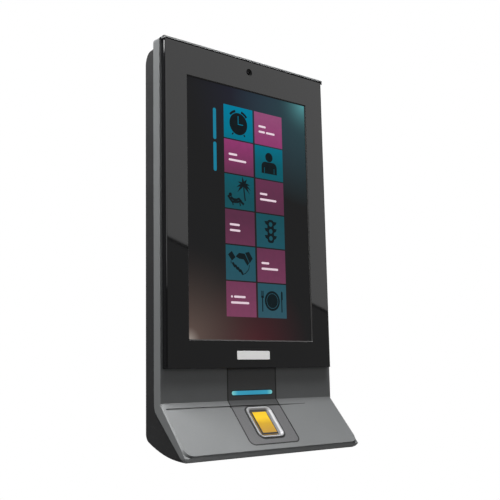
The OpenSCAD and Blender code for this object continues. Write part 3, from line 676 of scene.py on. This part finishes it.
def clock_icon(dark, light):
    dark.disc(0, -0.4, 7.0)
    for side in (-1, 1):
        dark.stroke(arc(0, -0.4, 8.2, 90 + side * 16, 90 + side * 52, 10), 1.5)
        dark.bar(side * 4.6, -7.2, 1.6, 0.9, side * -50)
    light.bar(-0.2, 2.1, 0.5, 5.2)
    light.bar(1.6, -0.6, 4.2, 0.5)


def person_icon(dark, light):
    dark.disc(0, 3.9, 3.0)
    shoulders = arc(3.2, -2.4, 3.1, 0, 90, 8) + arc(-3.2, -2.4, 3.1, 90, 180, 8)
    dark.shape([(-6.3, -6.8), (6.3, -6.8)] + shoulders)
    for side in (-1, 1):
        light.bar(side * 4.0, -4.8, 0.35, 3.6)


def frond(picture, x, z, angle, length):
    """Drooping palm leaf that starts at a point and tapers at both ends."""
    c, s = math.cos(math.radians(angle)), math.sin(math.radians(angle))
    steps = [i / 6 for i in range(7)]
    spine = [(x + c * length * t, z + s * length * t - 2.3 * t * t * abs(c)) for t in steps]
    spread = [0.3 + 1.3 * math.sin(math.pi * min(t + 0.12, 1.0)) for t in steps]
    upper = [(u - s * w / 2, v + c * w / 2) for (u, v), w in zip(spine, spread)]
    lower = [(u + s * w / 2, v - c * w / 2) for (u, v), w in zip(spine, spread)]
    picture.shape(upper + lower[::-1])


def palm_icon(dark, light):
    dark.stroke([(3.3, 4.6), (3.5, 1.0), (4.3, -4.8)], 0.9)
    for angle in (-34, -4, 26, 62, 100, 142, 176, 210):
        frond(dark, 3.2, 4.9, angle, 5.5)
    dark.stroke([(-9.0, -2.8), (-7.6, -4.6), (-5.8, -6.4), (-2.0, -6.2), (0.4, -5.4), (3.2, -7.2)], 1.5)
    dark.stroke([(-7.0, -3.6), (-5.0, -4.8), (-2.6, -4.9), (-0.6, -4.0), (1.2, -5.6)], 1.5)
    for x in (-5.4, 0.2):
        dark.bar(x, -7.4, 0.8, 2.2, 14)
    dark.disc(-7.2, -2.1, 1.2, 20)


def lights_icon(dark, light):
    dark.bar(0, 0, 5.2, 14.6, r=1.8)
    for z in (4.4, 0.0, -4.4):
        for side in (-1, 1):
            hood = ((2.5, 1.9), (5.0, 1.7), (4.2, 0.1), (2.5, -0.9))
            dark.shape([(side * x, z + rise) for x, rise in hood][::side])
        light.disc(0, z, 1.45, 28)


def hands_icon(dark, light):
    dark.bar(-6.9, 4.0, 3.6, 4.6, 38, 0.4)
    dark.shape([(3.4, 6.6), (6.4, 7.4), (9.2, 3.4), (6.8, 0.4)])
    dark.shape([(-4.0, 3.8), (-1.4, 6.2), (3.0, 6.0), (6.4, 0.4), (5.0, -1.2), (2.2, 2.4), (-1.4, 2.7)])
    for i in range(4):
        dark.bar(-5.4 + 1.9 * i, -1.3 - 1.3 * i, 1.5, 3.6, 38, 0.7)
    dark.stroke([(6.6, -0.6), (6.0, -3.4), (3.6, -5.8), (0.8, -7.0)], 0.5)
    dark.stroke([(-7.6, 1.2), (-7.4, -0.6)], 0.5)


def ring_half(outer, inner, start):
    return arc(0, 0, outer, start, start + 180, 30) + arc(0, 0, inner, start + 180, start, 30)


def meal_icon(dark, light):
    dark.disc(0, 0, 6.1)
    for start in (0, 180):
        light.shape(ring_half(4.7, 4.4, start))
    dark.bar(-7.9, -2.6, 0.8, 8.4)
    for k in (-1, 0, 1):
        dark.bar(-7.9 + 0.8 * k, 4.2, 0.42, 3.6)
    dark.bar(-7.9, 2.2, 2.1, 1.4, r=0.6)
    dark.bar(7.7, -2.4, 0.8, 8.8)
    dark.shape([(7.2, 0.5), (8.5, 1.0), (8.5, 5.6), (7.7, 6.4), (7.2, 5.4)])


ICONS = (clock_icon, person_icon, palm_icon, lights_icon, hands_icon, meal_icon)
TITLE_BARS = (18.0, 19.5)           # lengths, from the lower one up
WORD_BARS = (                       # lengths in the two lines of each row
    ((6.0,), (5.2, 7.2)), ((6.6,), (13.6,)), ((6.0,), (13.4,)),
    ((7.6,), (8.0,)), ((6.2,), (13.4,)), ((1.4, 8.8), (13.8,)),
)


def draw_screen():
    """Checker of lit tiles: an icon and two lines of bars in each row, and title bars beside them."""
    teal, magenta = Picture(1), Picture(1)
    dark, light, words, title = Picture(2), Picture(3), Picture(2), Picture(2)
    size = TILE_PITCH - TILE_GAP
    for row in range(ROWS):
        z = TILE_TOP - TILE_PITCH * row - size / 2
        icon_column = row % 2
        for column, (x0, x1) in enumerate(TILE_X):
            tile = teal if column == icon_column else magenta
            tile.centre = ((x0 + x1) / 2, z)
            tile.bar(0, 0, x1 - x0, size, r=0.15)
        for layer in (dark, light):
            layer.centre = (sum(TILE_X[icon_column]) / 2, z)
        ICONS[row](dark, light)
        left = TILE_X[1 - icon_column][0] + 3.4
        for line, lengths in enumerate(WORD_BARS[row]):
            words.centre = (left, z + 1.4 - LINE_PITCH * line)
            x = 0.0
            for length in lengths:
                words.bar(x + length / 2, 0, length, WORD_H, r=0.6)
                x += length + WORD_GAP
    title.centre = TITLE_AT
    z = 0.0
    for length in TITLE_BARS:
        title.bar(0, z + length / 2, TITLE_W, length, r=1.1)
        z += length + TITLE_GAP
    glass = Picture(0)
    glass.centre = (0.0, WINDOW_H)
    glass.bar(0, 0, WINDOW_W - 0.1, WINDOW_LEN - 0.1, r=0.3)
    teal.done("screen_tiles_teal", teal_light)
    magenta.done("screen_tiles_magenta", magenta_light)
    dark.done("screen_icons", icon_light)
    light.done("screen_icon_marks", teal_light)
    words.done("screen_word_bars", word_light)
    title.done("screen_title_bars", title_light)
    glass.done("screen_picture", SLOT_LOOKS["screen"])


draw_screen()

# ---------------------------------------------------------------- stage, light and camera


def glow_object(name, bm, strength):
    """A white light-giving object of the stage, with no shadow and no light on rough surfaces."""
    s = Shader(name)
    glow = s.node("Emission")
    glow.inputs["Color"].default_value = (1.0, 1.0, 1.0, 1.0)
    glow.inputs["Strength"].default_value = strength
    s.link(glow.outputs[0], s.out.inputs["Surface"])
    obj = mesh_object(name, bm, s.mat)
    obj.visible_diffuse = False
    obj.visible_shadow = False
    return obj


def card(name, corners, strength):
    """A flat light card given by its corners, seen only in reflections."""
    bm = bmesh.new()
    bm.faces.new([bm.verts.new(c) for c in corners])
    glow_object(name, bm, strength).visible_camera = False


CAM = at(-315.2, 398.2, 44.45)
CAM_YAW, CAM_PITCH, CAM_ROLL = (math.radians(a) for a in (39.63, 8.75, -1.16))
CAM_LENS = 58.99
GLASS_Y = -FASCIA_D * MM

GLEAM_LEFT = at(-64.4, FASCIA_D, 123.6)     # where the gleam's lower edge crosses the fascia
GLEAM_RIGHT = at(61.6, FASCIA_D, 85.9)
CARD_AWAY = 1.1                             # metres from the glass
CARD_H = 1.6
EDGE_CARD_X, EDGE_CARD_Z = -0.75, (0.16, 1.8)


def mirrored_ray(glass_point, distance):
    """Where the camera's ray gets to, this far from the glass that mirrored it."""
    image = Vector((CAM.x, 2 * GLASS_Y - CAM.y, CAM.z))
    ray = (glass_point - image).normalized()
    return glass_point + ray * (distance / -ray.y)


def light_cards():
    """Cards mirrored in the front: a bright one whose lower edge draws the slanted gleam, one
    beside it for the left edges, and a dim one below it."""
    a = mirrored_ray(GLEAM_LEFT, CARD_AWAY)
    b = mirrored_ray(GLEAM_RIGHT, CARD_AWAY)
    along = b - a
    a, b = a - along * 0.6, b + along * 0.9
    up = Vector((0.0, 0.0, CARD_H))
    card("gleam_card", [a, b, b + up, a + up], 1.30)
    low, high = EDGE_CARD_Z
    card("edge_card", [(x, a.y, z) for x, z in
                       ((EDGE_CARD_X, low), (a.x, low), (a.x, high), (EDGE_CARD_X, high))], 1.5)
    back = Vector((0.0, -0.02, 0.0))
    card("dim_card", [a + back, b + back, b + back - up, a + back - up], 0.30)


light_cards()


def area(name, place, target, size_x, size_y, watts):
    """A rectangular lamp aimed at a point."""
    lamp = bpy.data.lights.new(name, "AREA")
    lamp.shape = "RECTANGLE"
    lamp.size, lamp.size_y = size_x, size_y
    lamp.energy = watts
    obj = bpy.data.objects.new(name, lamp)
    obj.location = place
    obj.rotation_mode = "QUATERNION"
    obj.rotation_quaternion = (Vector(target) - Vector(place)).to_track_quat("-Z", "Y")
    bpy.context.scene.collection.objects.link(obj)


area("overhead", (-0.05, -0.12, 0.80), (0.0, -0.04, -0.10), 0.9, 0.14, 12.0)
area("back_fill", (0.25, 0.85, 0.45), (0.0, 0.0, 0.0), 0.6, 0.6, 9.0)
area("under_fill", (0.1, 0.1, -0.9), (0.0, -0.02, -0.12), 0.5, 0.3, 2.5)
area("left_high", (-0.42, 0.02, 0.36), (-0.06, -0.01, 0.0), 0.2, 0.2, 2.2)


def backdrop():
    """Round white sweep, bright to the camera only: floor, curve, wall and ceiling."""
    floor_z, floor_r, curve_r, wall_h, steps = -0.5, 2.2, 0.8, 4.0, 10
    profile = [(0.0, 0.0), (floor_r, 0.0)]
    for i in range(1, steps + 1):
        a = math.pi / 2 * i / steps
        profile.append((floor_r + curve_r * math.sin(a), curve_r * (1 - math.cos(a))))
    profile += [(floor_r + curve_r, wall_h), (0.0, wall_h)]
    bm = revolved(profile, 64, lambda u, v, level: Vector((u, v, level + floor_z)))
    glow_object("backdrop", bm, 1.0).visible_glossy = False


backdrop()

world = bpy.data.worlds.new("studio")
world.use_nodes = True
background = world.node_tree.nodes["Background"].inputs
background["Color"].default_value = (1.0, 1.0, 1.0, 1.0)
background["Strength"].default_value = 0.09
bpy.context.scene.world = world
bpy.context.scene.view_settings.view_transform = "Standard"


def add_camera():
    """The photo's camera: turned from square to the wall, then tilted up and rolled."""
    level = math.cos(CAM_PITCH)
    ahead = Vector((math.sin(CAM_YAW) * level, math.cos(CAM_YAW) * level, math.sin(CAM_PITCH)))
    side = Vector((math.cos(CAM_YAW), -math.sin(CAM_YAW), 0.0))
    over = side.cross(ahead)
    right = side * math.cos(CAM_ROLL) + over * math.sin(CAM_ROLL)
    up = over * math.cos(CAM_ROLL) - side * math.sin(CAM_ROLL)
    cam = bpy.data.cameras.new("camera")
    cam.lens = CAM_LENS
    cam.sensor_width = 36.0
    cam.clip_start, cam.clip_end = 0.01, 50.0
    obj = bpy.data.objects.new("camera", cam)
    turn = Matrix((right, up, -ahead)).transposed().to_4x4()
    obj.matrix_world = Matrix.Translation(CAM) @ turn
    bpy.context.scene.collection.objects.link(obj)
    bpy.context.scene.camera = obj


add_camera()
